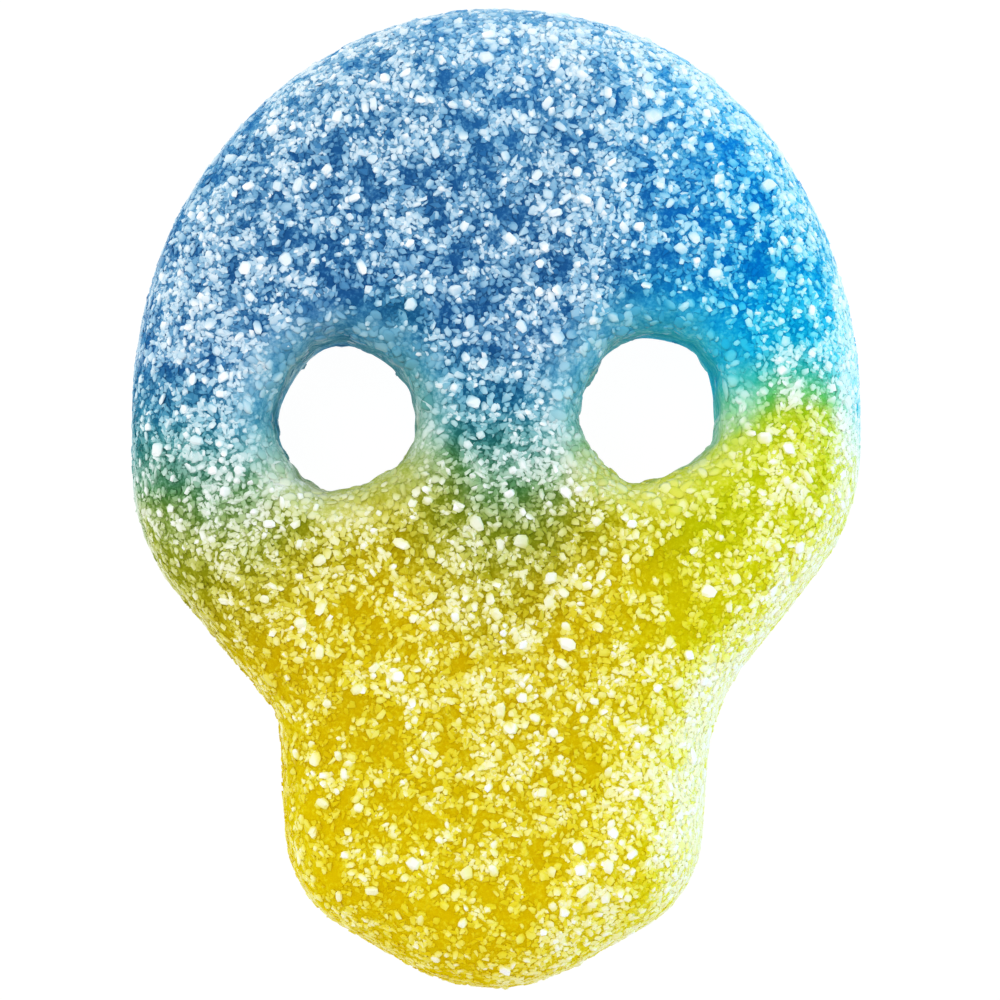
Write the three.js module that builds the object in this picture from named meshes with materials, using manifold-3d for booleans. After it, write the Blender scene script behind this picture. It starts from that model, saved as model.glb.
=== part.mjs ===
// A sour gummy skull: one starch-moulded fruit gummy, lying on its dished moulded back with the
// face up. The head is a half ellipse on rounded cheeks, the jaw a narrower block with a rounded
// chin, and two round eye sockets go right through. The side wall leans in towards the face, as it
// left its mould, and turns over a soft shoulder into a gently crowned face. The largest crystals
// of its sugar coat are fused on. Millimetres, +Z up, crown towards +Y, chin towards -Y, with the
// origin under the middle of the head's and jaw's box, on the surface that the gummy lies on.
import * as THREE from "three";
import { MeshSurfaceSampler } from "three/addons/math/MeshSurfaceSampler.js";
import { mergeVertices } from "three/addons/utils/BufferGeometryUtils.js";
import Module from "manifold-3d";

// Outline of the gummy, without its sugar.
const HEAD_HALF_WIDTH = 15.6;
const TEMPLE_Y = 3.85; // where the head is widest and its half ellipse begins
const CROWN_RISE = 17.1; // from the temples to the crown
const CORNERS = [
  { name: "left cheek", x: -HEAD_HALF_WIDTH, y: -1.8, radius: 8.5 },
  { name: "left neck", x: -9.35, y: -9.25, radius: 2.4 },
  { name: "left jaw", x: -8.9, y: -17.05, radius: 5.0 },
  { name: "chin", x: -0.15, y: -22.0, radius: 7.4 },
  { name: "right jaw", x: 8.6, y: -17.05, radius: 5.0 },
  { name: "right neck", x: 9.15, y: -9.05, radius: 8.4 },
  { name: "right cheek", x: HEAD_HALF_WIDTH, y: -0.7, radius: 8.9 },
];
const FACE_MIDDLE = new THREE.Vector2(0, -1); // every ring of the skin shrinks towards it

// Thickness and cross-section of the wall.
const THICKNESS = 8.4; // at the middle of the face
const SIDE_DROP = 0.75; // how far the crowned face falls to its sides
const END_DROP = 0.95; // and to the crown and the chin
const FACE_WAVE = { height: 0.1, acrossTurns: 0.42, acrossPhase: 0.9, alongTurns: 0.31, alongPhase: 0.4 };
const BACK_EDGE = 0.7; // radius of the back's edge
const REST_RIM = 2.6; // the flat rim that it rests on is at least this wide
const DISH = { x: 0, y: 2.5, halfWidth: 11, halfLength: 13.5, depth: 0.4 }; // the sunken back
const WALL_LEAN = 0.7; // how far the wall leans in on its way up
const SHOULDER_IN = 2.6;
const SHOULDER_DOWN = 3.0;

// Eye sockets: elliptical holes that widen a little towards the face, with a rolled rim.
const EYES = [
  { name: "left", x: -6.43, y: 3.4, across: 2.98, along: 3.14, lean: -0.3 },
  { name: "right", x: 6.5, y: 3.82, across: 2.92, along: 3.16, lean: -0.42 },
];
const EYE_FLARE = 0.5; // how much wider the hole is at the rim's foot than at the back
const EYE_RIM = 1.35; // radius of the rolled rim
const EYE_RIM_TURN = THREE.MathUtils.degToRad(74); // the rim stops just short of level
const EYE_OVERRUN = 0.9; // how far the cutter runs on past the face
const EYE_BELOW = 3;

// Sugar crystals: blocks about as long, wide and high as these shares of their size.
const CRYSTALS = 190;
const CRYSTAL_LARGEST = 1.0;
const CRYSTAL_SMALLEST = 0.65;
const CRYSTAL_SHAPE = [1, 0.8, 0.62];
const CRYSTAL_UNEVEN = 0.2; // share by which each of its sides may fall short
const CRYSTAL_TILT = 0.5;
const CRYSTAL_SUNK = 0.08; // share of its size that its middle lies under the skin
const CRYSTAL_SPACING = 2.1; // no two are nearer than this
const CRYSTAL_ABOVE = 1.3; // none sits lower than this, so that the rim stays flat
const SOCKET_CLEAR = 6.7; // nor lower than this inside an eye socket
const SEED = 11;

// Colours, and where one gives way to the next along the height of the face.
const YELLOW = new THREE.Color(0xe2cf4b);
const GREEN = new THREE.Color(0x97b37b);
const BLUE = new THREE.Color(0x7fb0d6);
const YELLOW_TOP = -3.5;
const GREEN_Y = 1;
const BLUE_FOOT = 6;
const COLOUR_SLANT = -0.16; // the blue reaches further down on the left

// How finely the skin is divided.
const SECTORS = 96;
const BACK_RINGS = 5;
const BACK_EDGE_RINGS = 2;
const WALL_RINGS = 2;
const SHOULDER_RINGS = 4;
const FACE_RINGS = 5;
const EYE_SECTORS = 32;
const EYE_RIM_RINGS = 4;

// Continues a path towards corner, round it and on the way to after, as a tangent arc.
function roundCorner(path, corner, after) {
  const at = new THREE.Vector2(corner.x, corner.y);
  const back = path.currentPoint.clone().sub(at).normalize();
  const on = after.clone().sub(at).normalize();
  const half = back.angleTo(on) / 2;
  const centre = back.clone().add(on).setLength(corner.radius / Math.sin(half)).add(at);
  const reach = corner.radius / Math.tan(half);
  const start = back.clone().multiplyScalar(reach).add(at).sub(centre);
  const end = on.clone().multiplyScalar(reach).add(at).sub(centre);
  const clockwise = back.cross(on) > 0;
  path.absarc(centre.x, centre.y, corner.radius, start.angle(), end.angle(), clockwise);
}

// Half an ellipse from the right temple over the crown to the left one, then the corners.
function skullOutline() {
  const shape = new THREE.Shape();
  shape.absellipse(0, TEMPLE_Y, HEAD_HALF_WIDTH, CROWN_RISE, 0, Math.PI, false);
  const temple = new THREE.Vector2(HEAD_HALF_WIDTH, TEMPLE_Y);
  CORNERS.forEach((corner, i) => {
    const next = CORNERS[i + 1];
    roundCorner(shape, corner, next ? new THREE.Vector2(next.x, next.y) : temple);
  });
  shape.closePath();
  return shape;
}

// How high the sunken back lies over a point of the plan.
function backHeight(x, y) {
  const aside = (x - DISH.x) / DISH.halfWidth;
  const along = (y - DISH.y) / DISH.halfLength;
  return DISH.depth * Math.max(0, 1 - aside ** 2 - along ** 2) ** 2;
}

// Height of the face over a point of the plan: a crown, with a slow wave for unevenness.
function faceHeight(x, y) {
  const aside = x / HEAD_HALF_WIDTH;
  const along = (y - FACE_MIDDLE.y) / (TEMPLE_Y + CROWN_RISE);
  const { height, acrossTurns, acrossPhase, alongTurns, alongPhase } = FACE_WAVE;
  const wave = Math.sin(acrossTurns * x + acrossPhase) * Math.cos(alongTurns * y + alongPhase);
  return THICKNESS - SIDE_DROP * aside ** 2 - END_DROP * along ** 2 + height * wave;
}

// The rings of the skin, from the middle of the back round the wall to the middle of the face.
// Each lies inset from the outline, shrinks to a share of itself and is raised: on the back by a
// height of its own, and further on by a share of the face's height.
function skinRings() {
  const rings = [];
  for (let i = 1; i <= BACK_RINGS; i++) {
    rings.push({ inset: REST_RIM, share: i / BACK_RINGS, rise: 0 });
  }
  for (let i = 0; i <= BACK_EDGE_RINGS; i++) {
    const turn = ((Math.PI / 2) * i) / BACK_EDGE_RINGS;
    const inset = BACK_EDGE * (1 - Math.sin(turn));
    rings.push({ inset, share: 1, rise: BACK_EDGE * (1 - Math.cos(turn)) });
  }
  const wallTop = 1 - SHOULDER_DOWN / THICKNESS;
  const wallFoot = BACK_EDGE / THICKNESS;
  for (let i = 1; i <= WALL_RINGS; i++) {
    const up = i / WALL_RINGS;
    const height = THREE.MathUtils.lerp(wallFoot, wallTop, up);
    rings.push({ inset: WALL_LEAN * up, share: 1, height });
  }
  for (let i = 1; i <= SHOULDER_RINGS; i++) {
    const turn = ((Math.PI / 2) * i) / SHOULDER_RINGS;
    const inset = WALL_LEAN + SHOULDER_IN * (1 - Math.cos(turn));
    rings.push({ inset, share: 1, height: wallTop + (1 - wallTop) * Math.sin(turn) });
  }
  for (let i = FACE_RINGS - 1; i > 0; i--) {
    rings.push({ inset: WALL_LEAN + SHOULDER_IN, share: i / FACE_RINGS, height: 1 });
  }
  return rings;
}

// The gummy before its sockets: rings of points joined by quads, closed by a fan at each end.
function skinGeometry() {
  const edge = skullOutline().getSpacedPoints(SECTORS).slice(0, SECTORS);
  const inward = edge.map((point, i) => {
    const ahead = edge[(i + 1) % SECTORS].clone().sub(edge.at(i - 1));
    return new THREE.Vector2(-ahead.y, ahead.x).normalize();
  });
  const { x: midX, y: midY } = FACE_MIDDLE;
  const positions = [midX, midY, backHeight(midX, midY)];
  const rings = skinRings();
  for (const { inset, share, rise, height } of rings) {
    edge.forEach((point, i) => {
      const { x, y } = inward[i].clone().multiplyScalar(inset).add(point).lerp(FACE_MIDDLE, 1 - share);
      positions.push(x, y, height ? height * faceHeight(x, y) : rise + backHeight(x, y));
    });
  }
  positions.push(midX, midY, faceHeight(midX, midY));

  const last = positions.length / 3 - 1;
  const indices = [];
  for (let i = 0; i < SECTORS; i++) {
    const next = (i + 1) % SECTORS;
    indices.push(0, 1 + next, 1 + i);
    for (let r = 0; r < rings.length - 1; r++) {
      const low = 1 + r * SECTORS;
      const high = low + SECTORS;
      indices.push(low + i, low + next, high + next, low + i, high + next, high + i);
    }
    indices.push(last - SECTORS + i, last - SECTORS + next, last);
  }
  const geometry = new THREE.BufferGeometry();
  geometry.setAttribute("position", new THREE.Float32BufferAttribute(positions, 3));
  geometry.setIndex(indices);
  return geometry;
}

// What is cut out for an eye: a lathed plug whose rolled rim follows the crown of the face.
function eyePlug(eye) {
  const throat = Math.sqrt(eye.across * eye.along);
  const rimFoot = throat + EYE_FLARE;
  const profile = [
    new THREE.Vector2(0, -THICKNESS - EYE_BELOW),
    new THREE.Vector2(throat, -THICKNESS - EYE_BELOW),
    new THREE.Vector2(throat, -THICKNESS),
  ];
  for (let i = 0; i <= EYE_RIM_RINGS; i++) {
    const turn = (EYE_RIM_TURN * i) / EYE_RIM_RINGS;
    const out = EYE_RIM * (1 - Math.cos(turn));
    profile.push(new THREE.Vector2(rimFoot + out, EYE_RIM * (Math.sin(turn) - 1)));
  }
  const rim = profile.at(-1);
  const past = new THREE.Vector2(Math.sin(EYE_RIM_TURN), Math.cos(EYE_RIM_TURN));
  profile.push(rim.clone().addScaledVector(past, EYE_OVERRUN));
  profile.push(new THREE.Vector2(0, profile.at(-1).y));
  const plug = new THREE.LatheGeometry(profile, EYE_SECTORS);
  plug.rotateX(Math.PI / 2);
  plug.scale(eye.across / throat, eye.along / throat, 1);
  plug.rotateZ(eye.lean);
  plug.translate(eye.x, eye.y, 0);
  const points = plug.getAttribute("position");
  for (let i = 0; i < points.count; i++) {
    points.setZ(i, points.getZ(i) + faceHeight(points.getX(i), points.getY(i)));
  }
  return plug;
}

function insideSocket(point) {
  return EYES.some((eye) => {
    const reach = eye.along + EYE_FLARE + EYE_RIM;
    return Math.hypot(point.x - eye.x, point.y - eye.y) < reach;
  });
}

// Crystals on the skin, the largest first, spread by a seeded draw that keeps them apart.
function sugarCrystals(skin) {
  THREE.MathUtils.seededRandom(SEED);
  const random = () => THREE.MathUtils.seededRandom();
  const sampler = new MeshSurfaceSampler(new THREE.Mesh(skin));
  sampler.setRandomGenerator(random).build();
  const taken = [];
  const crystals = [];
  const spot = new THREE.Vector3();
  const normal = new THREE.Vector3();
  const up = new THREE.Vector3(0, 0, 1);
  while (crystals.length < CRYSTALS) {
    sampler.sample(spot, normal);
    const tooLow = spot.z < (insideSocket(spot) ? SOCKET_CLEAR : CRYSTAL_ABOVE);
    if (tooLow || taken.some((other) => other.distanceTo(spot) < CRYSTAL_SPACING)) {
      continue;
    }
    taken.push(spot.clone());
    const size = THREE.MathUtils.lerp(
      CRYSTAL_LARGEST,
      CRYSTAL_SMALLEST,
      crystals.length / CRYSTALS,
    );
    const sides = CRYSTAL_SHAPE.map((share) => size * share * (1 - CRYSTAL_UNEVEN * random()));
    const block = new THREE.BoxGeometry(...sides);
    block.rotateX(CRYSTAL_TILT * (2 * random() - 1));
    block.rotateY(CRYSTAL_TILT * (2 * random() - 1));
    block.rotateZ(2 * Math.PI * random());
    block.applyQuaternion(new THREE.Quaternion().setFromUnitVectors(up, normal));
    block.translate(...spot.clone().addScaledVector(normal, -CRYSTAL_SUNK * size).toArray());
    crystals.push(block);
  }
  return crystals;
}

const wasm = await Module();
wasm.setup();

// A closed geometry as a manifold-3d solid, which can be joined and cut.
function toSolid(geometry) {
  const bare = geometry.clone();
  bare.deleteAttribute("normal");
  bare.deleteAttribute("uv");
  const merged = mergeVertices(bare);
  return new wasm.Manifold(
    new wasm.Mesh({
      numProp: 3,
      vertProperties: new Float32Array(merged.getAttribute("position").array),
      triVerts: new Uint32Array(merged.index.array),
    }),
  );
}

function toGeometry(solid) {
  const mesh = solid.getMesh();
  const geometry = new THREE.BufferGeometry();
  geometry.setAttribute("position", new THREE.BufferAttribute(mesh.vertProperties, 3));
  geometry.setIndex(new THREE.BufferAttribute(mesh.triVerts, 1));
  geometry.computeVertexNormals();
  return geometry;
}

// The gummy with its sockets cut and its crystals fused on, as one solid.
function sugaredSkull() {
  const gummy = EYES.reduce(
    (solid, eye) => solid.subtract(toSolid(eyePlug(eye))),
    toSolid(skinGeometry()),
  );
  const sugared = sugarCrystals(toGeometry(gummy)).reduce(
    (solid, crystal) => solid.add(toSolid(crystal)),
    gummy,
  );
  return toGeometry(sugared);
}

// Colours the gummy from the chin up: yellow, then through green to the blue of the head.
function addColours(geometry) {
  const points = geometry.getAttribute("position");
  const colours = new Float32Array(points.count * 3);
  for (let i = 0; i < points.count; i++) {
    const up = points.getY(i) + COLOUR_SLANT * points.getX(i);
    const toGreen = THREE.MathUtils.smoothstep(up, YELLOW_TOP, GREEN_Y);
    const toBlue = THREE.MathUtils.smoothstep(up, GREEN_Y, BLUE_FOOT);
    YELLOW.clone().lerp(GREEN, toGreen).lerp(BLUE, toBlue).toArray(colours, 3 * i);
  }
  geometry.setAttribute("color", new THREE.BufferAttribute(colours, 3));
  return geometry;
}

const gummyMaterial = new THREE.MeshStandardMaterial({
  vertexColors: true,
  roughness: 0.55,
  metalness: 0,
});

const skull = new THREE.Mesh(addColours(sugaredSkull()), gummyMaterial);
skull.name = "gummy_skull";

const group = new THREE.Group();
group.add(skull);

export default group;
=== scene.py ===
import itertools
import math

import bmesh
import bpy
import numpy as np
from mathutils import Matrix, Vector, noise


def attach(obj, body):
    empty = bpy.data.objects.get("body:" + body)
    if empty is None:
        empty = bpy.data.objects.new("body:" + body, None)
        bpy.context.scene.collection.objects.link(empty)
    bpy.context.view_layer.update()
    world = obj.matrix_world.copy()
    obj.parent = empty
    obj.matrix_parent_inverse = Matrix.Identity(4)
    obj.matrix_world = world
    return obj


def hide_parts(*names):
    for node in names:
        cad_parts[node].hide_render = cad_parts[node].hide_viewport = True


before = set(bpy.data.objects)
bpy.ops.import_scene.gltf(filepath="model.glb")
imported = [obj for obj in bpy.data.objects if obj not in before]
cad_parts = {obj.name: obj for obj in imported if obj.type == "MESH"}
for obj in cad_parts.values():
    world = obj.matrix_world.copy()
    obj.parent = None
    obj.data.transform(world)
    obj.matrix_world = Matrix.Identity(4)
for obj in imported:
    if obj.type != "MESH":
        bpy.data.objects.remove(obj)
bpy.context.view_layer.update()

# A sour gummy skull, seen from above on a pale light table: a translucent two-coloured gummy under
# a coat of real sugar crystals. Sizes are in millimetres, in the frame's axes: +X to the face's
# right-hand side as it is looked at, +Y to the crown, +Z out of the face.
MM = 0.001
NODE = "gummy_skull"

# Outline of the gummy, as in the solid.
HEAD_HALF_WIDTH = 15.6
TEMPLE_Y = 3.85  # where the head is widest and its half ellipse begins
CROWN_RISE = 17.1  # from the temples to the crown
CORNERS = {  # x, y and radius of each rounded corner
    "left cheek": (-HEAD_HALF_WIDTH, -1.8, 8.5),
    "left neck": (-9.35, -9.25, 2.4),
    "left jaw": (-8.9, -17.05, 5.0),
    "chin": (-0.15, -22.0, 7.4),
    "right jaw": (8.6, -17.05, 5.0),
    "right neck": (9.15, -9.05, 8.4),
    "right cheek": (HEAD_HALF_WIDTH, -0.7, 8.9),
}
FACE_MIDDLE = np.array([0.0, -1.0])  # every ring of the skin shrinks towards it
# A slight swell at the right of the crown, in the scene alone: its height, middle and reach.
CROWN_SWELL = (0.24, math.radians(54), math.radians(28))

# Thickness, face and back, as in the solid.
THICKNESS = 8.4  # at the middle of the face
SIDE_DROP = 0.75  # how far the crowned face falls to its sides
END_DROP = 0.95  # and to the crown and the chin
BACK_EDGE = 0.7  # radius of the back's edge
REST_RIM = 2.6  # width of the flat rim that it rests on
DISH_Y, DISH_HALF_WIDTH, DISH_HALF_LENGTH, DISH_DEPTH = 2.5, 11, 13.5, 0.4
COAT_ROOM = 0.03  # the skin keeps this much inside the solid's, for the sugar on it
# The wall stands steeper than the solid's, and its shoulder is rounder.
WALL_LEAN = 0.35  # how far the wall leans in on its way up
SHOULDER_IN = 2.95
SHOULDER_DOWN = 3.6

# Eye sockets, where the solid has them: x, y, half width, half length and lean.
EYES = {"left": (-6.4, 3.36, 2.98, 3.15, -0.22), "right": (6.48, 3.78, 2.9, 3.2, -0.44)}
EYE_FLARE = 0.05  # how much wider a socket is at its rim's foot than at the back
EYE_RIM = 1.65  # radius of its rolled rim
EYE_RIM_TURN = math.radians(84)  # the rim stops just short of level
EYE_OVERRUN = 0.9  # how far the plug that cuts it runs on past the face
EYE_BELOW = 3  # and below the back
EYE_TIGHTER = 0.02  # by how much the coat narrows a socket
# Unevenness of each socket's outline: waves round it, their height and the angle of a crest.
EYE_WAVES = {
    "left": ((3, 0.09, -12), (4, 0.04, 1), (5, 0.04, 35)),
    "right": ((3, 0.05, -17), (4, 0.045, -28), (5, 0.09, -30)),
}

# How finely the outline, the skin and the plugs are divided, before the remesh makes them even.
HEAD_POINTS, CORNER_POINTS = 120, 24
SAME_POINT = 1e-6  # two points of the outline that are nearer than this are one
SKIN_SECTORS, PLUG_SECTORS = 240, 96
BACK_RINGS, EDGE_RINGS, WALL_RINGS, SHOULDER_RINGS, FACE_RINGS, EYE_RIM_RINGS = 20, 7, 16, 14, 24, 14
INNERMOST_SHARE = 0.05  # how large the back's and the face's innermost rings are, of their outermost
VOXEL = 0.2
SMOOTHINGS = 3

# Unevenness of the skin: height, length and seed of each set of waves.
SKIN_WAVES = ((0.1, 5.0, 0), (0.05, 1.1, 1))
SOCKET_LUMPS = (0.17, 0.75, 2)
SOCKET_LUMPS_SQUASH = (1.0, 1.0, 0.25)  # so that they run down the sockets' walls
FLAT_BELOW, FLAT_BAND = 0.3, 1.2  # the foot stays flat up to here, and is fully uneven a band higher
SEED_SHIFT = (1.0, 1.7, -1.0)  # how far each seed moves the noise


def new_object(name, points, faces):
    """A mesh object from points in millimetres."""
    mesh = bpy.data.meshes.new(name)
    mesh.from_pydata((np.asarray(points) * MM).tolist(), [], faces)
    mesh.validate()
    obj = bpy.data.objects.new(name, mesh)
    bpy.context.scene.collection.objects.link(obj)
    return obj


def apply_modifiers(obj):
    graph = bpy.context.evaluated_depsgraph_get()
    mesh = bpy.data.meshes.new_from_object(obj.evaluated_get(graph))
    obj.modifiers.clear()
    old = obj.data
    obj.data = mesh
    bpy.data.meshes.remove(old)


def coordinates(mesh):
    flat = np.empty(len(mesh.vertices) * 3)
    mesh.vertices.foreach_get("co", flat)
    return flat.reshape(-1, 3) / MM


def normals(mesh):
    flat = np.empty(len(mesh.vertices) * 3)
    mesh.vertices.foreach_get("normal", flat)
    return flat.reshape(-1, 3)


def shade_smooth(obj):
    obj.data.polygons.foreach_set("use_smooth", np.ones(len(obj.data.polygons), bool))


def set_attribute(obj, name, values):
    """A value at each point of a mesh, for its material to read."""
    attribute = obj.data.attributes.new(name, "FLOAT", "POINT")
    attribute.data.foreach_set("value", values.ravel().astype(np.float32))


def noise_at(points, length, seed):
    """Smooth noise, about -1 to 1, with waves of that length."""
    offset = Vector([seed * shift for shift in SEED_SHIFT])
    return np.array([noise.noise(Vector(p) / length + offset) for p in points])


def arc(centre, radius, start, turn):
    angles = np.linspace(start, start + turn, CORNER_POINTS)
    return centre + radius * np.column_stack([np.cos(angles), np.sin(angles)])


def rounded_corner(before, corner, after, radius):
    """The tangent arc that rounds a corner of a path."""
    back = (before - corner) / np.linalg.norm(before - corner)
    on = (after - corner) / np.linalg.norm(after - corner)
    half = math.acos(np.clip(back @ on, -1, 1)) / 2
    bisector = (back + on) / np.linalg.norm(back + on)
    centre = corner + bisector * radius / math.sin(half)
    first = corner + back * radius / math.tan(half) - centre
    last = corner + on * radius / math.tan(half) - centre
    start = math.atan2(first[1], first[0])
    turn = math.atan2(last[1], last[0]) - start
    return arc(centre, radius, start, (turn + math.pi) % math.tau - math.pi)


def head_arc():
    """The half ellipse from the right temple over the crown to the left one."""
    angles = np.linspace(0, math.pi, HEAD_POINTS)
    height, middle, reach = CROWN_SWELL
    swell = 1 + height / CROWN_RISE * np.exp(-(((angles - middle) / reach) ** 2))
    across = HEAD_HALF_WIDTH * swell * np.cos(angles)
    return np.column_stack([across, TEMPLE_Y + CROWN_RISE * swell * np.sin(angles)])


def skull_outline(count):
    """Points at equal steps round the gummy, anticlockwise from the right temple."""
    head = head_arc()
    corners = [np.array(c[:2]) for c in CORNERS.values()]
    radii = [c[2] for c in CORNERS.values()]
    path = [head]
    for i, (corner, radius) in enumerate(zip(corners, radii)):
        after = corners[i + 1] if i + 1 < len(corners) else head[0]
        path.append(rounded_corner(path[-1][-1], corner, after, radius))
    points = np.vstack(path)
    steps = np.linalg.norm(np.diff(points, axis=0, append=points[:1]), axis=1)
    points = points[steps > SAME_POINT]
    closed = np.vstack([points, points[:1]])
    length = np.concatenate([[0], np.cumsum(np.linalg.norm(np.diff(closed, axis=0), axis=1))])
    at = np.linspace(0, length[-1], count, endpoint=False)
    return np.column_stack([np.interp(at, length, closed[:, k]) for k in range(2)])


def back_height(x, y):
    """Height of the dished back over the table."""
    aside = x / DISH_HALF_WIDTH
    along = (y - DISH_Y) / DISH_HALF_LENGTH
    return COAT_ROOM + DISH_DEPTH * np.maximum(0, 1 - aside**2 - along**2) ** 2


def face_height(x, y):
    """Height of the crowned face over the table."""
    aside = x / HEAD_HALF_WIDTH
    along = (y - FACE_MIDDLE[1]) / (TEMPLE_Y + CROWN_RISE)
    return THICKNESS - COAT_ROOM - SIDE_DROP * aside**2 - END_DROP * along**2


def skin_rings():
    """Inset, share of itself, rise and share of the face's height of each ring, from the back."""
    back = [(REST_RIM, share, 0, 0) for share in np.linspace(INNERMOST_SHARE, 1, BACK_RINGS)]
    turns = np.linspace(0, math.pi / 2, EDGE_RINGS)
    edge = [(BACK_EDGE * (1 - math.sin(t)), 1, BACK_EDGE * (1 - math.cos(t)), 0) for t in turns]
    wall_foot = BACK_EDGE / THICKNESS
    wall_top = 1 - SHOULDER_DOWN / THICKNESS
    rises = np.linspace(0, 1, WALL_RINGS)[1:]
    wall = [(WALL_LEAN * up, 1, 0, wall_foot + (wall_top - wall_foot) * up) for up in rises]
    shoulder = []
    for turn in np.linspace(0, math.pi / 2, SHOULDER_RINGS)[1:]:
        inset = WALL_LEAN + SHOULDER_IN * (1 - math.cos(turn))
        shoulder.append((inset, 1, 0, wall_top + (1 - wall_top) * math.sin(turn)))
    shares = np.linspace(1, INNERMOST_SHARE, FACE_RINGS)[1:]
    face = [(WALL_LEAN + SHOULDER_IN, share, 0, 1) for share in shares]
    return back + edge + wall + shoulder + face


def grid_faces(rings, sectors):
    """Quads between rings of points, closed by a fan at each end round points 0 and last."""
    last = 1 + rings * sectors
    i = np.arange(sectors)
    j = (i + 1) % sectors
    faces = [(0, int(1 + b), int(1 + a)) for a, b in zip(i, j)]
    for r in range(rings - 1):
        low = 1 + r * sectors
        high = low + sectors
        faces += np.column_stack([low + i, low + j, high + j, high + i]).tolist()
    faces += np.column_stack([last - sectors + i, last - sectors + j, np.full(sectors, last)]).tolist()
    return faces


def skin_object():
    """The gummy before its sockets are cut."""
    edge = skull_outline(SKIN_SECTORS)
    ahead = np.roll(edge, -1, axis=0) - np.roll(edge, 1, axis=0)
    inward = np.column_stack([-ahead[:, 1], ahead[:, 0]])
    inward /= np.linalg.norm(inward, axis=1, keepdims=True)
    x, y = FACE_MIDDLE
    points = [[[x, y, back_height(x, y)]]]
    rings = skin_rings()
    for inset, share, rise, height in rings:
        at = edge + inward * (inset + COAT_ROOM)
        at = FACE_MIDDLE + (at - FACE_MIDDLE) * share
        if height:
            z = height * face_height(at[:, 0], at[:, 1])
        else:
            z = rise + back_height(at[:, 0], at[:, 1])
        points.append(np.column_stack([at, z]))
    points.append([[x, y, face_height(x, y)]])
    return new_object("gummy_body", np.vstack(points), grid_faces(len(rings), SKIN_SECTORS))


def plug_profile(throat):
    """Radius of each ring of a plug, and its height over the face, from the bottom up."""
    foot = throat + EYE_FLARE
    profile = [(throat, -THICKNESS - EYE_BELOW), (throat, -THICKNESS)]
    for turn in np.linspace(0, EYE_RIM_TURN, EYE_RIM_RINGS):
        profile.append((foot + EYE_RIM * (1 - math.cos(turn)), EYE_RIM * (math.sin(turn) - 1)))
    radius, height = profile[-1]
    radius += EYE_OVERRUN * math.sin(EYE_RIM_TURN)
    height += EYE_OVERRUN * math.cos(EYE_RIM_TURN)
    return profile + [(radius, height)]


def eye_plug(side):
    """What is cut out for an eye: a turned plug whose rolled rim follows the crown of the face."""
    x, y, across, along, lean = EYES[side]
    across -= EYE_TIGHTER
    along -= EYE_TIGHTER
    throat = math.sqrt(across * along)
    angles = np.linspace(0, math.tau, PLUG_SECTORS, endpoint=False)
    outline = np.column_stack([np.cos(angles) * across, np.sin(angles) * along]) / throat
    turned = np.array([[math.cos(lean), -math.sin(lean)], [math.sin(lean), math.cos(lean)]])
    outline = outline @ turned.T
    around = angles + lean
    for waves, height, crest in EYE_WAVES[side]:
        reach = height / throat * np.cos(waves * (around - math.radians(crest)))
        outline += reach[:, None] * np.column_stack([np.cos(around), np.sin(around)])
    centre = np.array([x, y])
    profile = plug_profile(throat)
    points = [[[x, y, profile[0][1] + face_height(x, y)]]]
    for radius, height in profile:
        at = centre + radius * outline
        points.append(np.column_stack([at, height + face_height(at[:, 0], at[:, 1])]))
    points.append([[x, y, profile[-1][1] + face_height(x, y)]])
    return new_object("plug_" + side, np.vstack(points), grid_faces(len(profile), PLUG_SECTORS))


def cut_sockets(body):
    for side in EYES:
        plug = eye_plug(side)
        cut = body.modifiers.new("eye_" + side, "BOOLEAN")
        cut.operation = "DIFFERENCE"
        cut.solver = "EXACT"
        cut.object = plug
        apply_modifiers(body)
        bpy.data.objects.remove(plug)


def remesh_evenly(body):
    remesh = body.modifiers.new("even", "REMESH")
    remesh.mode = "VOXEL"
    remesh.voxel_size = VOXEL * MM
    smooth = body.modifiers.new("soft", "SMOOTH")
    smooth.iterations = SMOOTHINGS
    apply_modifiers(body)


# The coat of sugar. How thick it is at a point, its frost, is 0 where it is as usual, more where it
# is thicker and whiter, and less where it is barer; it also holds a painted highlight on the right flank
# and crown. Dye says how strongly the gummy's own colour shows at a point, from 0, white, to 1.
ZONES = ("face", "sides", "back")
STEEP = 0.62  # how far up, of 1, the steepest part of the face looks
# Patches of the coat: strength, length and seed of each set.
PATCHES = ((0.45, 2.6, 5), (0.6, 0.95, 9), (0.75, 0.5, 13))

# The gummy's own skin, under a film of wet sugar.
FILM_DYE = 0.78  # its usual dye
FILM_LEAST_DYE, FILM_MOST_DYE = 0.06, 1.05
FILM_FADES = 0.5  # what frost takes from it
FLANK_HIGHLIGHT_FADES = 1.0  # what the painted highlight on the right flank and crown takes from it
SOCKET_PAINTED_LIGHT = 0.3  # what the sockets take from it: painted light, a paler film standing in for light through the translucent gummy where the sockets lie in shade
WALL_PAINTED_LIGHT = 1.15  # their steep walls take this many times as much painted light, as they lie deeper in shade

# The sockets, round the middle of each eye.
SOCKET_WALL = 3.35  # how far a socket's wall reaches
SOCKET_REACH = 5.1  # how far its rim reaches
SOCKET_BAND = 1.0  # the band in which the rim ends
BACK_LEVEL = 1.0  # there is no rim below this height, where the back is
SOCKET_EVENS = 0.45  # how much evener the coat is there
SOCKET_CLEARS = 0.5  # how much fainter the flecks of the film are there
SOCKET_WALL_BARE = 0.97  # the share of its crystals that the steepest wall does without

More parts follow.
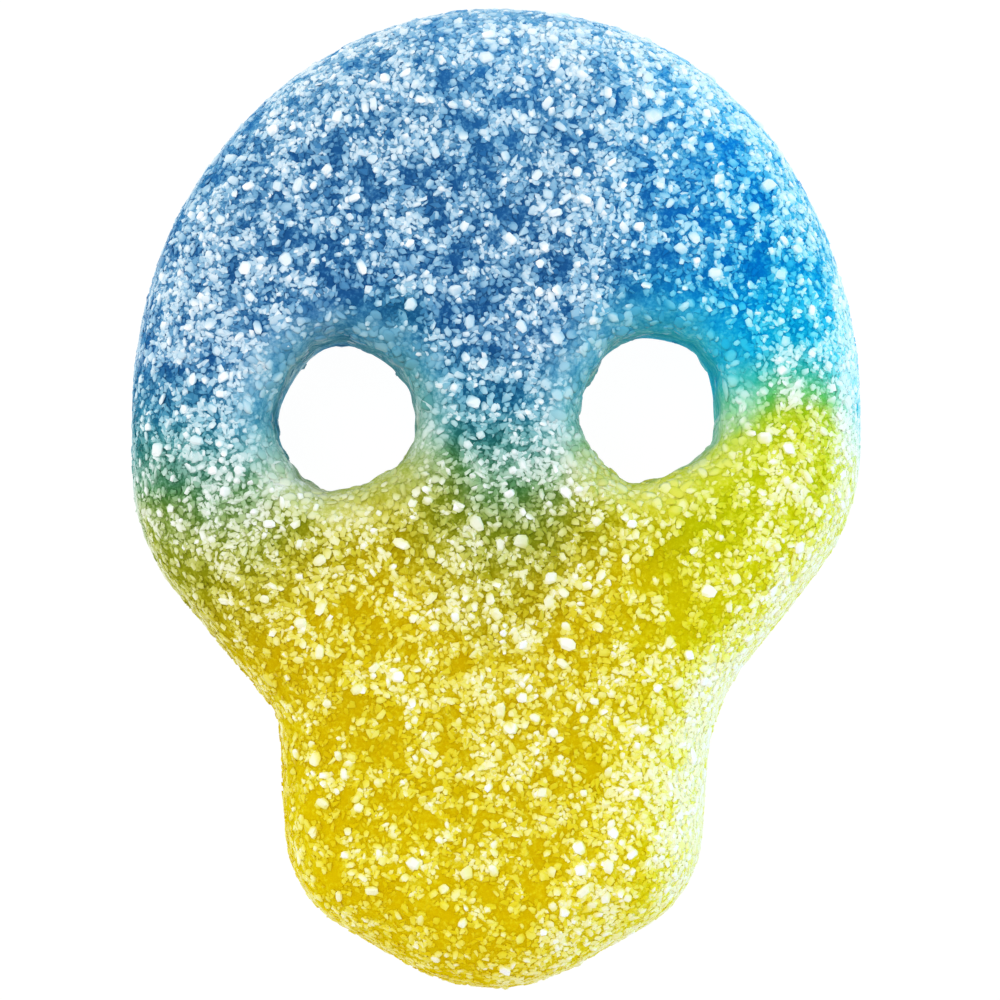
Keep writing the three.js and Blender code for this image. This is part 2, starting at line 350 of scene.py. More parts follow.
# The right flank and the crown, where the coat is painted whitest: a painted highlight of the lamps on
# the right and above, by which way the skin looks.
FLANK_HIGHLIGHT_FROST = 0.8  # how much thicker and whiter the painted highlight makes it
FLANK_FROM = 6.0  # how far across the flank's full strength begins
FLANK_NARROWS = 3  # a higher power keeps it to skin that looks straight sideways
FLANK_ENDS, FLANK_END_Y = 0.4, 8.0  # how much of it is lost towards the temple, and by which height
FLANK_FOOT, FLANK_FULL = 0.4, 5.0  # its share on the table, and the height where it is full
LEFT_FLANK_SHARE = 0.1  # what the left flank has of it
CROWN_FROM, CROWN_BAND, CROWN_SHARE = 10.0, 5.0, 0.32  # where the crown begins, and what it has

# Where the coat is thicker and whiter, or barer: x, y, reach and strength. Along the right edge some are
# whiter partly as a painted highlight of the light from the right, and over the eyes some are barer as
# painted shade.
FROSTED = {
    "left cheek": (-11.1, 3.6, 2.3, 0.48),
    "under the left cheek": (-10.8, 0.0, 2.1, 0.42),
    "left temple": (-12.5, 8.0, 3.6, 0.34),
    "left forehead": (-8.9, 11.0, 2.8, 0.31),
    "upper left rim of the left eye": (-8.4, 5.8, 1.2, 0.18),
    "left crown": (-5.6, 16.0, 2.2, 0.2),
    "under the crown": (-1.0, 16.8, 1.6, 0.18),
    "middle of the forehead": (4.0, 10.5, 2.0, 0.18),
    "brow": (-0.4, 7.8, 1.5, 0.16),
    # Partly a painted highlight: the right shoulder of the crown, whiter where it turns to the light.
    "right shoulder of the crown": (11.2, 16.0, 1.8, 0.44),
    "right side of the forehead": (12.2, 12.4, 1.4, 0.18),
    "left rim of the right eye": (2.9, 3.0, 1.6, 0.35),
    "lower left rim of the right eye": (3.2, 0.2, 1.6, 0.52),
    "right rim of the left eye": (-2.8, 2.8, 1.4, 0.3),
    "lower right rim of the left eye": (-3.8, 0.6, 1.4, 0.2),
    "lower rim of the left eye": (-6.5, -0.8, 2.0, 0.3),
    "lower rim of the right eye": (6.5, -0.4, 1.4, 0.1),
    "lower left rim of the left eye": (-9.0, -0.6, 1.6, 0.2),
    "lower right rim of the right eye": (8.9, 1.4, 1.8, 0.24),
    # Partly a painted highlight: the right jaw, neck and underside of the cheek, whiter where the light
    # from the right falls.
    "right jaw": (7.8, -12.0, 3.0, 0.48),
    "right neck": (10.0, -7.5, 1.7, 0.45),
    "under the right cheek": (12.1, -4.8, 2.0, 0.38),
    "right of the chin": (5.3, -18.5, 2.4, 0.35),
    "right crown": (6.5, 16.8, 4.0, 0.25),
    # Partly a painted highlight: the right side and temple, whiter where the light from the right falls.
    "right side": (13.4, 9.0, 2.4, 0.22),
    "side of the right temple": (14.2, 6.2, 1.3, 0.26),
    "nose": (-0.9, -6.6, 3.0, 0.28),
    "upper left rim of the right eye": (4.4, 6.4, 1.4, 0.25),
    "middle of the jaw": (-0.3, -13.1, 1.9, 0.22),
    "left of the middle of the jaw": (-5.1, -13.9, 1.4, 0.2),
    "tip of the chin": (1.0, -20.5, 1.8, 0.5),
}
BARE = {
    "left shoulder of the crown": (-11.2, 14.8, 3.2, 0.26),
    "left side of the crown": (-13.2, 12.9, 1.6, 0.14),
    "left of the crown": (-8.8, 16.4, 1.4, 0.12),
    "top of the crown": (-0.6, 19.2, 1.8, 0.25),
    "over the brow": (-0.4, 11.6, 1.5, 0.2),
    "left of the middle of the forehead": (-4.4, 11.8, 1.8, 0.14),
    "left side of the brow": (-3.7, 6.8, 1.3, 0.14),
    "side of the left cheek": (-14.3, 4.4, 2.2, 0.22),
    "top of the chin": (-1.8, -16.4, 1.3, 0.18),
    "between the eyes": (-0.5, 5.0, 1.6, 0.14),
    "under the bridge": (-1.8, -2.0, 1.6, 0.2),
    "left of the nose": (-5.5, -6.7, 2.4, 0.31),
    "upper left of the jaw": (-3.7, -11.3, 1.6, 0.18),
    "low on the right cheek": (10.2, -2.6, 1.6, 0.28),
    "right forehead": (9.2, 9.8, 2.2, 0.18),
    "right of the forehead": (9.3, 13.2, 1.4, 0.14),
    "right temple": (10.8, 5.8, 1.4, 0.15),
    "under the left eye": (-6.5, -3.2, 2.5, 0.14),
    # Painted shade: the coat is barer and darker over each eye, where the sockets' upper walls turn from
    # the light.
    "painted shade over the left eye": (-6.9, 8.3, 2.2, 0.38),
    "painted shade over the right eye": (7.2, 7.6, 1.8, 0.35),
    "left wall of the left eye": (-9.7, 3.4, 1.3, 0.45),
    "right wall of the right eye": (10.0, 5.0, 1.5, 0.28),
    "under the right eye": (6.8, -2.8, 2.5, 0.34),
    "bridge": (0.0, 0.0, 2.0, 0.15),
    "left jaw": (-7.5, -12.5, 4.0, 0.25),
    "side of the left jaw": (-9.5, -12.5, 2.6, 0.3),
    "chin": (-1.0, -18.0, 4.5, 0.35),
}


def in_socket(points):
    """How far inside a socket each point lies: 1 on its walls, 0 outside its rim and on the back."""
    share = np.zeros(len(points))
    for x, y, *_ in EYES.values():
        away = np.hypot(points[:, 0] - x, points[:, 1] - y)
        rim = np.clip((SOCKET_REACH - away) / SOCKET_BAND, 0, 1) * (points[:, 2] > BACK_LEVEL)
        share = np.maximum(share, np.maximum(rim, away < SOCKET_WALL))
    return share


def looks_up(out):
    """0 where the skin is as steep as a wall or looks down, 1 where it is as level as the face."""
    return np.clip(out[:, 2] / STEEP, 0, 1)


def painted_flank_highlight(points, out):
    """Painted highlight: how squarely each point looks sideways towards the light, on the right half
    above all, or on the crown upwards.
    """
    aside = np.abs(out[:, 0]) ** FLANK_NARROWS * np.clip(np.abs(points[:, 0]) / FLANK_FROM, 0, 1)
    aside *= 1 - FLANK_ENDS * np.clip(points[:, 1] / FLANK_END_Y, 0, 1)
    aside *= FLANK_FOOT + (1 - FLANK_FOOT) * np.clip(points[:, 2] / FLANK_FULL, 0, 1)
    aside *= np.where(points[:, 0] > 0, 1, LEFT_FLANK_SHARE)
    crown = np.clip(out[:, 1], 0, 1) * np.clip((points[:, 1] - CROWN_FROM) / CROWN_BAND, 0, 1)
    return np.maximum(aside, CROWN_SHARE * crown) * (1 - in_socket(points))


def frost(points, out):
    """How much thicker the coat is at each point than usual, or how much barer, below 0, with the
    painted highlight of the right flank and crown added.
    """
    amount = sum(strength * noise_at(points, length, seed) for strength, length, seed in PATCHES)
    amount *= 1 - SOCKET_EVENS * in_socket(points)
    for sign, zones in ((1, FROSTED), (-1, BARE)):
        for x, y, reach, strength in zones.values():
            away = ((points[:, 0] - x) ** 2 + (points[:, 1] - y) ** 2) / reach**2
            amount += sign * strength * np.exp(-away)
    return amount + FLANK_HIGHLIGHT_FROST * painted_flank_highlight(points, out)


def film_dye(points, out, thicker):
    """How strongly the gummy's dye shows in its skin, under the film of wet sugar: paler where frost is,
    paler as a painted highlight on the right flank and crown, and paler as painted light in the sockets.
    """
    faded = FILM_FADES * thicker + FLANK_HIGHLIGHT_FADES * painted_flank_highlight(points, out)
    faded += SOCKET_PAINTED_LIGHT * in_socket(points) * (WALL_PAINTED_LIGHT + (1 - WALL_PAINTED_LIGHT) * looks_up(out))
    return np.clip(FILM_DYE - faded, FILM_LEAST_DYE, 1)


def uneven(points, out):
    """The skin's points with the slow waves and small lumps of a cast sweet, flat at the foot."""
    push = sum(height * noise_at(points, length, seed) for height, length, seed in SKIN_WAVES)
    height, length, seed = SOCKET_LUMPS
    push += height * in_socket(points) * noise_at(points * SOCKET_LUMPS_SQUASH, length, seed)
    free = np.clip((points[:, 2] - FLAT_BELOW) / FLAT_BAND, 0, 1)
    points = points + out * (push * free)[:, None]
    points[:, 2] = np.maximum(points[:, 2], COAT_ROOM)
    return points


def make_body():
    """The gummy: cut, remeshed evenly and made uneven."""
    body = skin_object()
    cut_sockets(body)
    remesh_evenly(body)
    out = normals(body.data)
    points = uneven(coordinates(body.data), out)
    body.data.vertices.foreach_set("co", (points * MM).ravel())
    shade_smooth(body)
    set_attribute(body, "dye", film_dye(points, out, frost(points, out)))
    steep = 1 - np.clip(np.abs(out[:, 2]) / STEEP, 0, 1)
    set_attribute(body, "flecks", 1 - SOCKET_CLEARS * np.maximum(in_socket(points), steep))
    body.data.update()
    return body


# The crystals. Of each kind these are given:
#   size: its smallest and its largest longest side
#   sides: its length, width and height, as shares of that
#   per_mm2: how many lie on a square millimetre of each zone of the skin, and of the sockets
#   gap: how near to each other two of them may be, in the three larger kinds
#   lift: how far its middle lies over the skin, as a share of its size
#   dye: the least and the most of its top
#   frost_fades_dye: what frost takes of that
#   foot: how far it takes on the dye of the skin that it stands on, and how high up that reaches,
#     as a share of its size
COARSE = {
    "size": (0.35, 0.54),
    "sides": (1.0, 0.82, 0.5),
    "per_mm2": {"face": 0.45, "sides": 0.08, "back": 0.15, "sockets": 0.0},
    "gap": 0.62,
    "lift": 0.12,
    "dye": (0.0, 0.1),
    "frost_fades_dye": 0.1,
    "foot": (0.5, 0.32),
}
MEDIUM = {
    "size": (0.26, 0.42),
    "sides": (1.0, 0.74, 0.42),
    "per_mm2": {"face": 4.0, "sides": 3.0, "back": 2.0, "sockets": 0.15},
    "gap": 0.3,
    "lift": 0.08,
    "dye": (0.01, 0.19),
    "frost_fades_dye": 0.4,
    "foot": (0.5, 0.32),
}
FINE = {
    "size": (0.19, 0.4),
    "sides": (1.0, 0.62, 0.3),
    "per_mm2": {"face": 27.0, "sides": 14.0, "back": 11.0, "sockets": 1.0},
    "lift": 0.04,
    "dye": (0.06, 0.64),
    "frost_fades_dye": 0.6,
    "foot": (0.36, 0.32),
}
SOFT = {
    "size": (0.28, 0.7),
    "sides": (1.0, 0.8, 0.5),
    "per_mm2": {"face": 0.1, "sides": 1.0, "back": 0.0, "sockets": 15.0},
    "gap": 0.24,
    "lift": -0.05,
    "dye": (0.14, 0.5),
    "frost_fades_dye": 0.5,
    "foot": (1.0, 0.05),
}
SHAPE_UNEVEN = 0.3  # share by which a crystal's sides differ from its kind's
CORNERS_UNEVEN = 0.22  # share by which its corners lie further out or in
TILT, TILT_SPREAD = 0.4, 0.5  # how far crystals lean, and the spread of what is drawn for it
LIE_FLATTER = 0.3  # how much of its tilt and lift a crystal keeps on a wall

# Of the spots drawn, the share that gets a crystal where the coat is as usual, what frost adds to
# that, the least share, and how many more spots are drawn to make up for it.
USUAL_SHARE, FROST_ADDS, LEAST_SHARE = 0.73, 1.05, 0.08
DRAWN_MORE = 1.35
SEED = 7
CELL = 1.0  # side of the cubes that spots are sorted into, wider than any gap
NEIGHBOURS = list(itertools.product((-1, 0, 1), repeat=3))
NEVER_ZERO = 1e-12  # stands in for the length of a normal where that is 0

# Forms of the crystals, each about 1 across before it gets its size.
BLOCK_WEAR = 0.24  # how far a worn block's edges are cut back
LUMP_HEIGHT = 0.45
PEBBLE_SQUARENESS = 5  # the power of its curve: 2 is a ball, and more is nearer to a block
CHIP_REACH = 0.55  # how far a chip's corners lie from its upright axis


def fan(face):
    """A face as triangles round its lowest numbered corner, so that each run makes the same ones."""
    corners = [vert.index for vert in face.verts]
    first = corners.index(min(corners))
    corners = corners[first:] + corners[:first]
    return [(corners[0], b, c) for b, c in zip(corners[1:], corners[2:])]


def unit_shape(build):
    """Points and triangles of a small closed shape about 1 across."""
    bm = bmesh.new()
    build(bm)
    bm.verts.index_update()
    points = np.array([v.co for v in bm.verts])
    faces = np.array(sorted(triangle for face in bm.faces for triangle in fan(face)))
    bm.free()
    return points, faces


def worn_block(bm):
    """A block with bevelled edges."""
    bmesh.ops.create_cube(bm, size=1)
    bmesh.ops.bevel(bm, geom=bm.edges[:], offset=BLOCK_WEAR, segments=1, profile=0.5, affect="EDGES")


def lump(bm):
    """A low round lump, of sugar that has half melted into the skin."""
    bmesh.ops.create_icosphere(bm, subdivisions=2, radius=0.5)
    for vert in bm.verts:
        vert.co.z *= LUMP_HEIGHT


def pebble(bm):
    """A rounded grain whose corners are pushed out towards those of a block."""
    bmesh.ops.create_icosphere(bm, subdivisions=1, radius=1)
    for vert in bm.verts:
        reach = sum(abs(c) ** PEBBLE_SQUARENESS for c in vert.co) ** (1 / PEBBLE_SQUARENESS)
        vert.co *= 0.5 / reach


def ring_of_three(bm, height, first):
    """Three corners round the upright axis, the first at that angle in degrees."""
    turns = np.radians([first, first + 120, first + 240])
    return [bm.verts.new((CHIP_REACH * math.cos(t), CHIP_REACH * math.sin(t), height)) for t in turns]


def chip(bm):
    """A crumb with six corners: three round its top and, between those, three round its bottom."""
    top = ring_of_three(bm, 0.5, 0)
    bottom = ring_of_three(bm, -0.5, 60)
    bm.faces.new(top)
    bm.faces.new(bottom[::-1])
    for i in range(3):
        j = (i + 1) % 3
        bm.faces.new([top[i], bottom[i], top[j]])
        bm.faces.new([bottom[i], bottom[j], top[j]])


class Skin:
    """The body's triangles, from which spots are drawn."""

    def __init__(self, body):
        mesh = body.data
        mesh.calc_loop_triangles()
        self.points = coordinates(mesh)
        self.normals = normals(mesh)
        self.corners = np.empty(len(mesh.loop_triangles) * 3, np.int64)
        mesh.loop_triangles.foreach_get("vertices", self.corners)
        self.corners = self.corners.reshape(-1, 3)
        a, b, c = (self.points[self.corners[:, k]] for k in range(3))
        cross = np.cross(b - a, c - a)
        length = np.linalg.norm(cross, axis=1)
        self.areas = length / 2
        up = cross[:, 2] / np.maximum(length, NEVER_ZERO)
        self.zones = {"face": up > STEEP, "sides": abs(up) <= STEEP, "back": up < -STEEP}

    def spots(self, rng, zone, per_mm2):
        """Random spots on a zone of the skin, so many to a square millimetre."""
        chosen = np.flatnonzero(self.zones[zone])
        areas = self.areas[chosen]
        count = int(areas.sum() * per_mm2)
        drawn = rng.choice(chosen, count, p=areas / areas.sum())
        u, v = rng.random((2, count))
        over = u + v > 1
        u[over], v[over] = 1 - u[over], 1 - v[over]
        share = np.column_stack([1 - u - v, u, v])
        corners = self.corners[drawn]
        at = np.einsum("nk,nkc->nc", share, self.points[corners])
        out = np.einsum("nk,nkc->nc", share, self.normals[corners])
        return at, out / np.linalg.norm(out, axis=1, keepdims=True)


def apart(points, gap):
    """Which points to keep so that no two are nearer than the gap."""
    cells = {}
    keep = []
    for index, point in enumerate(points):
        home = tuple((point // CELL).astype(int))
        around = [cells.get((home[0] + i, home[1] + j, home[2] + k), ()) for i, j, k in NEIGHBOURS]
        if all(((point - points[o]) ** 2).sum() > gap**2 for cell in around for o in cell):
            cells.setdefault(home, []).append(index)
            keep.append(index)
    return np.array(keep)


def turned_bases(rng, out, tilt):
    """For each outward direction a random upright frame, tilted a little."""
    count = len(out)
    lean = out + tilt[:, None] * rng.normal(0, TILT_SPREAD, (count, 3))
    up = lean / np.linalg.norm(lean, axis=1, keepdims=True)
    side = np.cross(up, rng.normal(0, 1, (count, 3)))
    side /= np.linalg.norm(side, axis=1, keepdims=True)
    return np.stack([side, np.cross(up, side), up], axis=2)


def crystal_corners(rng, unit, kind, at, out):
    """The corners of a crystal at each spot, and their heights over the skin as shares of its size."""
    count = len(at)
    smallest, largest = kind["size"]
    size = smallest * (largest / smallest) ** rng.random(count)
    sides = np.array(kind["sides"]) * (1 + SHAPE_UNEVEN * rng.uniform(-1, 1, (count, 3)))
    corners = unit[None] * (1 + CORNERS_UNEVEN * rng.uniform(-1, 1, (count, len(unit), 3)))
    corners = corners * (size[:, None] * sides)[:, None, :]
    loose = np.clip(np.abs(out[:, 2]) / STEEP, LIE_FLATTER, 1)
    corners = np.einsum("nij,nkj->nki", turned_bases(rng, out, TILT * loose), corners)
    corners += (out * (kind["lift"] * loose * size)[:, None])[:, None, :]
    height = np.einsum("nki,ni->nk", corners, out) / size[:, None]
    placed = at[:, None, :] + corners
    placed[:, :, 2] -= np.minimum(placed[:, :, 2].min(axis=1), 0)[:, None]
    return placed, height


def crystal_dye(rng, kind, spots, height):
    """The dye at each corner: that of the crystal's top, and nearer to the skin's where it meets it."""
    at, out, thicker = spots
    top = rng.uniform(*kind["dye"], len(at)) - kind["frost_fades_dye"] * thicker
    top = np.clip(top, kind["dye"][0], 1)
    foot = film_dye(at, out, thicker)
    # On a socket's walls a crystal takes the skin's dye, with the painted light that is in it.
    top += in_socket(at) * (1 - looks_up(out)) * (foot - top)
    strength, reach = kind["foot"]
    near_skin = strength * np.clip(1 - height / reach, 0, 1)
    return top[:, None] + near_skin * (foot - top)[:, None]


def crystals(name, rng, shape, kind, spots, material):
    """One piece that holds a crystal at each spot."""
    unit, faces = shape
    at, out, thicker = spots
    corners, height = crystal_corners(rng, unit, kind, at, out)
    all_faces = faces[None] + (np.arange(len(at)) * len(unit))[:, None, None]
    piece = new_object(name, corners.reshape(-1, 3), all_faces.reshape(-1, 3).tolist())
    set_attribute(piece, "dye", crystal_dye(rng, kind, spots, height))
    piece.data.materials.append(material)
    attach(piece, "root")
    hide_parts(NODE)
    return piece


def scattered(rng, skin, kind, zone):
    """Spots of one kind of crystal on one zone, thinned where the coat is bare, and their frost."""
    outside, inside = kind["per_mm2"][zone], kind["per_mm2"]["sockets"]
    most = max(outside, inside)
    at, out = skin.spots(rng, zone, most * DRAWN_MORE)
    thicker = frost(at, out)
    chance = np.clip(USUAL_SHARE + FROST_ADDS * thicker, LEAST_SHARE, 1)
    socket = in_socket(at)
    chance *= (outside + (inside - outside) * socket) / most
    steepness = 1 - looks_up(out) ** 2
    chance *= 1 - SOCKET_WALL_BARE * socket * steepness
    keep = rng.random(len(at)) < chance
    return at[keep], out[keep], thicker[keep]


def coat(skin, material):
    """Every crystal on the skin: the larger ones kept apart, the fine ones in one piece a zone."""
    rng = np.random.default_rng(SEED)
    larger = (
        ("sugar_soft", lump, SOFT),
        ("sugar_coarse", worn_block, COARSE),
        ("sugar_medium", pebble, MEDIUM),
    )
    for name, build, kind in larger:
        zones = [scattered(rng, skin, kind, zone) for zone in ZONES]
        spots = [np.concatenate(values) for values in zip(*zones)]
        keep = apart(spots[0], kind["gap"])
        spots = [values[keep] for values in spots]
        piece = crystals(name, rng, unit_shape(build), kind, spots, material)
        if kind is SOFT:
            shade_smooth(piece)
    chips = unit_shape(chip)
    for zone in ZONES:
        spots = scattered(rng, skin, FINE, zone)
        crystals("sugar_fine_" + zone, rng, chips, FINE, spots, material)


def srgb(red, green, blue):
    """A colour given as in a picture, 0 to 255, as a shader's linear colour."""
    shares = [c / 255 for c in (red, green, blue)]
    linear = [c / 12.92 if c <= 0.04045 else ((c + 0.055) / 1.055) ** 2.4 for c in shares]
    return (*linear, 1.0)


# Where blue gives way to yellow: the height of the middle of the green, across the face.
BORDER = (
    (-16, 1.0),
    (-11, -0.3),
    (-8, 1.6),
    (-5.5, 2.7),
    (-3.8, 2.9),
    (-2.2, 1.5),
    (0, 0.1),
    (2, 0.5),
    (3.6, 2.1),
    (6.5, 3.6),
    (10, 3.3),
    (12.5, 4.3),
    (14.2, 3.8),
    (16, 2.7),
)
BORDER_SPAN = 16.0  # the curve through it runs this far to the left and to the right
BORDER_LEAN = 0.15  # how much nearer to the chin it lies for each step towards the back
BORDER_WANDER = 3.2  # how far its swirls shift it, up and down together
# Colours of the gummy at heights over that border, on the left and on the right of the face.
LEFT_COLOURS = {
    -18: (224, 194, 3),
    -7: (208, 177, 4),
    -5: (178, 159, 7),
    -3.4: (152, 147, 12),
    -1.6: (122, 138, 26),
    0: (70, 122, 60),
    1.6: (38, 110, 106),
    3.4: (28, 102, 140),
    6: (32, 91, 148),
    11: (35, 94, 151),
    15: (38, 102, 160),
    18: (44, 116, 180),
}
RIGHT_COLOURS = {
    -18: (223, 212, 3),
    -7: (210, 205, 4),
    -2.2: (190, 204, 6),
    -0.9: (158, 198, 18),
    0: (88, 194, 98),
    1.0: (34, 176, 164),
    2.0: (4, 160, 212),
    4.2: (2, 146, 218),
    6.5: (3, 118, 198),
    15: (14, 134, 224),
}
COLOUR_SPAN = (-18.0, 18.0)
RIGHT_FROM, RIGHT_FULL = 1.8, 11.2  # where the right's colours begin, across the face, and are full

# Looks: constant values of the nodes' inputs, by their names.
SWIRL = {"Scale": 0.22 / MM, "Detail": 3}
FILM_GRAIN = {"Detail": 2, "Roughness": 0.6}
FILM_BUMP = {"Strength": 0.5, "Distance": 0.05 * MM}
# Unevenness of the film of powdered sugar: the length of each set of flecks, and its contrast.
FILM_MOTTLE = ((0.5, 0.8), (0.17, 1.6))
GUMMY_LOOK = {
    "Roughness": 0.55,
    "Specular IOR Level": 0.0,
    "Subsurface Weight": 0.4,
    "Subsurface Radius": (1.0, 1.0, 1.0),
    "Subsurface Scale": 0.6 * MM,
}
SUGAR_LOOK = {"Roughness": 0.3, "IOR": 1.54, "Specular IOR Level": 0.1}
TABLE_LOOK = {
    "Base Color": (0.06, 0.06, 0.06, 1),
    "Roughness": 1.0,
    "Specular IOR Level": 0.0,
    "Emission Color": (1, 1, 1, 1),
    "Emission Strength": 0.97,
}
SKY_LOOK = {"Color": (1.0, 0.97, 1.0, 1), "Strength": 0.7}


def link(tree, source, target):
    tree.links.new(source, target)


def set_inputs(node, values):
    for name, value in values.items():
        node.inputs[name].default_value = value


def maths(tree, operation, *values):
    """A maths node, its inputs given as sockets or numbers."""
    node = tree.nodes.new("ShaderNodeMath")
    node.operation = operation
    for socket, value in zip(node.inputs, values):
        if isinstance(value, (int, float)):
            socket.default_value = value
        else:
            link(tree, value, socket)
    return node.outputs[0]


def grain(tree, place, look):
    """Smooth noise over the object's own coordinates."""
    node = tree.nodes.new("ShaderNodeTexNoise")
    set_inputs(node, look)
    link(tree, place.outputs["Object"], node.inputs["Vector"])
    return node.outputs["Fac"]


def colour_ramp(tree, factor, colours):
    """Colours by height over the border, as a ramp."""
    node = tree.nodes.new("ShaderNodeValToRGB")
    low, high = COLOUR_SPAN
    elements = node.color_ramp.elements
    while len(elements) < len(colours):
        elements.new(0.5)
    for element, (height, colour) in zip(elements, sorted(colours.items())):
        element.position = (height - low) / (high - low)
        element.color = srgb(*colour)
    link(tree, factor, node.inputs["Fac"])
    return node.outputs["Color"]


def mixed(tree, factor, first, second):
    """A colour between two."""
    node = tree.nodes.new("ShaderNodeMix")
    node.data_type = "RGBA"
    sockets = {s.identifier: s for s in node.inputs}
    link(tree, factor, sockets["Factor_Float"])
    link(tree, first, sockets["A_Color"])
    link(tree, second, sockets["B_Color"])
    return next(s for s in node.outputs if s.identifier == "Result_Color")


def border_height(tree, x):
    """How high the border lies at each place across the face, as a curve through its points."""
    curve = tree.nodes.new("ShaderNodeFloatCurve")
    points = curve.mapping.curves[0].points
    while len(points) < len(BORDER):
        points.new(0.5, 0.5)
    for point, (across, height) in zip(points, BORDER):
        point.location = (across / (2 * BORDER_SPAN) + 0.5, height / (2 * BORDER_SPAN) + 0.5)
    curve.mapping.update()
    across = maths(tree, "MULTIPLY_ADD", x, 1 / (2 * BORDER_SPAN), 0.5)
    link(tree, across, curve.inputs["Value"])
    return maths(tree, "MULTIPLY_ADD", curve.outputs["Value"], 2 * BORDER_SPAN, -BORDER_SPAN)


def gummy_colour_group():
    """Node group that gives the gummy's colour at each point: where the two casts ran together."""
    tree = bpy.data.node_groups.new("gummy_colour", "ShaderNodeTree")
    tree.interface.new_socket("Color", in_out="OUTPUT", socket_type="NodeSocketColor")
    output = tree.nodes.new("NodeGroupOutput")
    place = tree.nodes.new("ShaderNodeTexCoord")
    split = tree.nodes.new("ShaderNodeSeparateXYZ")
    link(tree, place.outputs["Object"], split.inputs[0])
    x, y, z = (maths(tree, "DIVIDE", split.outputs[axis], MM) for axis in "XYZ")

    wander = maths(tree, "MULTIPLY_ADD", grain(tree, place, SWIRL), BORDER_WANDER, -BORDER_WANDER / 2)
    over = maths(tree, "SUBTRACT", y, border_height(tree, x))
    over = maths(tree, "ADD", over, wander)
    deeper = maths(tree, "MULTIPLY_ADD", z, -BORDER_LEAN, BORDER_LEAN * THICKNESS)
    over = maths(tree, "ADD", over, deeper)
    low, high = COLOUR_SPAN
    factor = maths(tree, "MULTIPLY_ADD", over, 1 / (high - low), -low / (high - low))
    left = colour_ramp(tree, factor, LEFT_COLOURS)
    right = colour_ramp(tree, factor, RIGHT_COLOURS)

    side = tree.nodes.new("ShaderNodeMapRange")
    side.interpolation_type = "SMOOTHSTEP"
    set_inputs(side, {"From Min": RIGHT_FROM, "From Max": RIGHT_FULL})
    link(tree, x, side.inputs["Value"])
    link(tree, mixed(tree, side.outputs["Result"], left, right), output.inputs["Color"])
    return tree


def dyed(tree, colour, depth):
    """A colour as a thinner layer of its dye shows it: itself at depth 1, white at 0."""
    node = tree.nodes.new("ShaderNodeGamma")
    link(tree, colour, node.inputs["Color"])
    link(tree, depth, node.inputs["Gamma"])
    return node.outputs["Color"]


def attribute(tree, name):
    node = tree.nodes.new("ShaderNodeAttribute")
    node.attribute_name = name
    return node.outputs["Fac"]


def new_material(name, look):
    material = bpy.data.materials.new(name)
    material.use_nodes = True
    shader = material.node_tree.nodes["Principled BSDF"]
    set_inputs(shader, look)
    return material, material.node_tree, shader


def tint(tree, shader, group, depth):
    """Gives a shader the gummy's colour at that depth of dye, in its gloss too."""
    colour = tree.nodes.new("ShaderNodeGroup")
    colour.node_tree = group
    shown = dyed(tree, colour.outputs["Color"], depth)
    link(tree, shown, shader.inputs["Base Color"])
    link(tree, shown, shader.inputs["Specular Tint"])


def gummy_material(group):
    """The gummy: soft and translucent, with powdered sugar in its skin between the crystals."""
    material, tree, shader = new_material("gummy", GUMMY_LOOK)
    place = tree.nodes.new("ShaderNodeTexCoord")
    depth = attribute(tree, "dye")
    flecks = attribute(tree, "flecks")
    films = [grain(tree, place, {"Scale": 1 / (length * MM), **FILM_GRAIN}) for length, _ in FILM_MOTTLE]
    for film, (_, contrast) in zip(films, FILM_MOTTLE):
        mottle = maths(tree, "MULTIPLY_ADD", film, contrast, -contrast / 2)
        depth = maths(tree, "MULTIPLY_ADD", mottle, flecks, depth)
    depth = maths(tree, "MINIMUM", maths(tree, "MAXIMUM", depth, FILM_LEAST_DYE), FILM_MOST_DYE)
    tint(tree, shader, group, depth)
    bump = tree.nodes.new("ShaderNodeBump")
    set_inputs(bump, FILM_BUMP)
    link(tree, films[-1], bump.inputs["Height"])
    link(tree, bump.outputs["Normal"], shader.inputs["Normal"])
    return material


def sugar_material(group):
    """Sugar crystals: clear to white, so that the gummy under each tints it."""
    material, tree, shader = new_material("sugar", SUGAR_LOOK)
    tint(tree, shader, group, attribute(tree, "dye"))
    return material


# The light table, the lamps and the sky. Of each lamp: its place, size, brightness and colour.
TABLE_HALF = 600
LAMPS = {
    "key": ((350, 80, 75), 180, 0.34, (0.2, 0.86, 1.0)),
    "fill": ((-300, 150, 130), 180, 0.17, (0.6, 1.0, 0.95)),
    "top": ((-60, 60, 420), 260, 0.31, (1.0, 0.95, 0.96)),
}


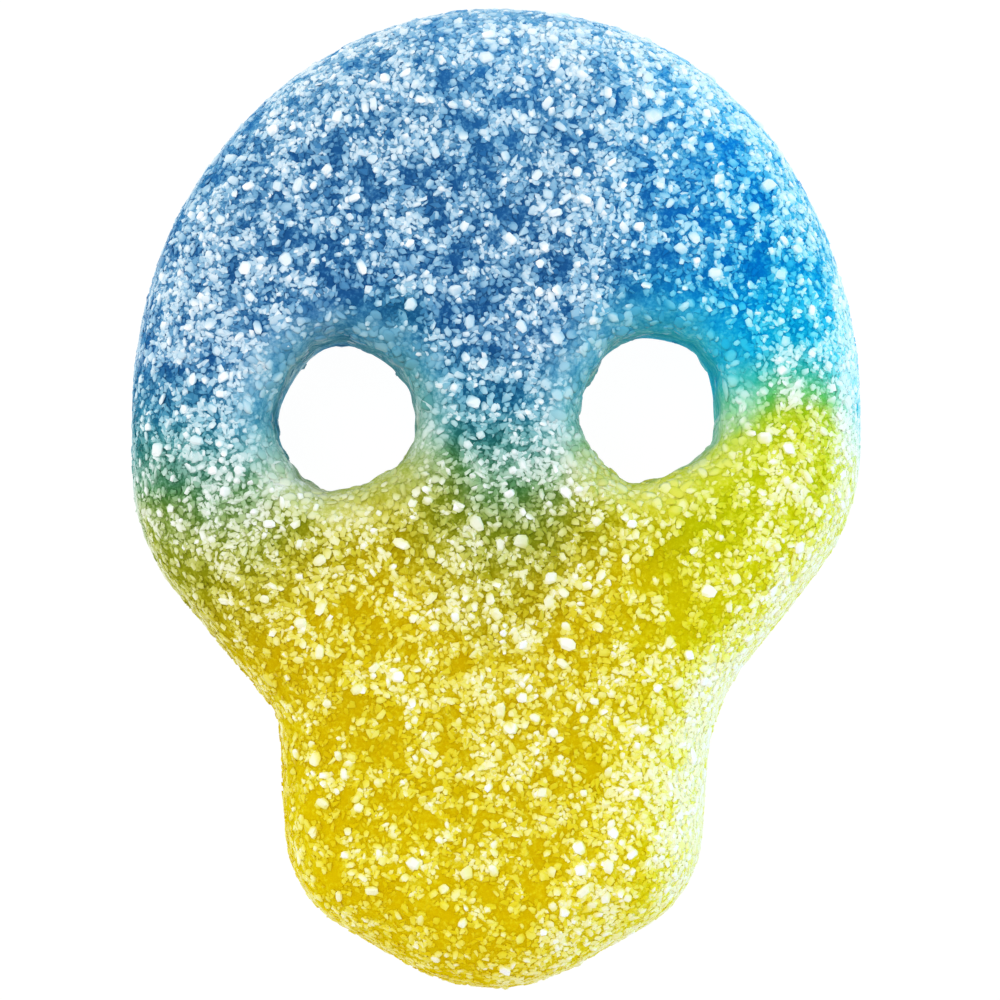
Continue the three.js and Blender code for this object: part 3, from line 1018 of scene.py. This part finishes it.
def make_floor():
    """A light table: mostly its own even glow, with a little of the lamps' light."""
    corners = [(x * TABLE_HALF, y * TABLE_HALF, 0) for x, y in ((-1, -1), (1, -1), (1, 1), (-1, 1))]
    floor = new_object("light_table", corners, [(0, 1, 2, 3)])
    material, _, _ = new_material("light_table", TABLE_LOOK)
    floor.data.materials.append(material)


def area_light(name, place, size, brightness, colour):
    """A square lamp turned to the gummy. White paper that faces it looks as bright as brightness."""
    data = bpy.data.lights.new(name, "AREA")
    data.size = size * MM
    data.energy = brightness * (math.pi * Vector(place).length * MM) ** 2
    data.color = colour
    lamp = bpy.data.objects.new(name, data)
    bpy.context.scene.collection.objects.link(lamp)
    lamp.location = Vector(place) * MM
    lamp.rotation_mode = "QUATERNION"
    lamp.rotation_quaternion = (-lamp.location).to_track_quat("-Z", "Y")


def make_lights():
    world = bpy.data.worlds.new("studio")
    world.use_nodes = True
    set_inputs(world.node_tree.nodes["Background"], SKY_LOOK)
    bpy.context.scene.world = world
    for name, lamp in LAMPS.items():
        area_light(name, *lamp)


# The camera looks down on the face, from a little below the chin's side of straight above.
CAMERA_DISTANCE = 240.0
CAMERA_TILT = math.radians(1.4)
CAMERA_AIM = (0.15, -0.06, 1.5)
CAMERA_NEAREST = 1  # nothing nearer to it is seen
FRAME_WIDTH = 42.75  # what the picture's 1000 pixels span at the aim
SENSOR = 36.0


def make_camera():
    data = bpy.data.cameras.new("camera")
    data.sensor_width = SENSOR
    data.lens = SENSOR * CAMERA_DISTANCE / FRAME_WIDTH
    data.clip_start = CAMERA_NEAREST * MM
    camera = bpy.data.objects.new("camera", data)
    bpy.context.scene.collection.objects.link(camera)
    back = Vector((0, -math.sin(CAMERA_TILT), math.cos(CAMERA_TILT)))
    camera.location = (Vector(CAMERA_AIM) + back * CAMERA_DISTANCE) * MM
    camera.rotation_euler = (CAMERA_TILT, 0, 0)
    bpy.context.scene.camera = camera


bpy.context.scene.view_settings.view_transform = "Standard"
make_camera()
make_lights()
make_floor()
colour_group = gummy_colour_group()
body = make_body()
body.data.materials.append(gummy_material(colour_group))
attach(body, "root")
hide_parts(NODE)
coat(Skin(body), sugar_material(colour_group))
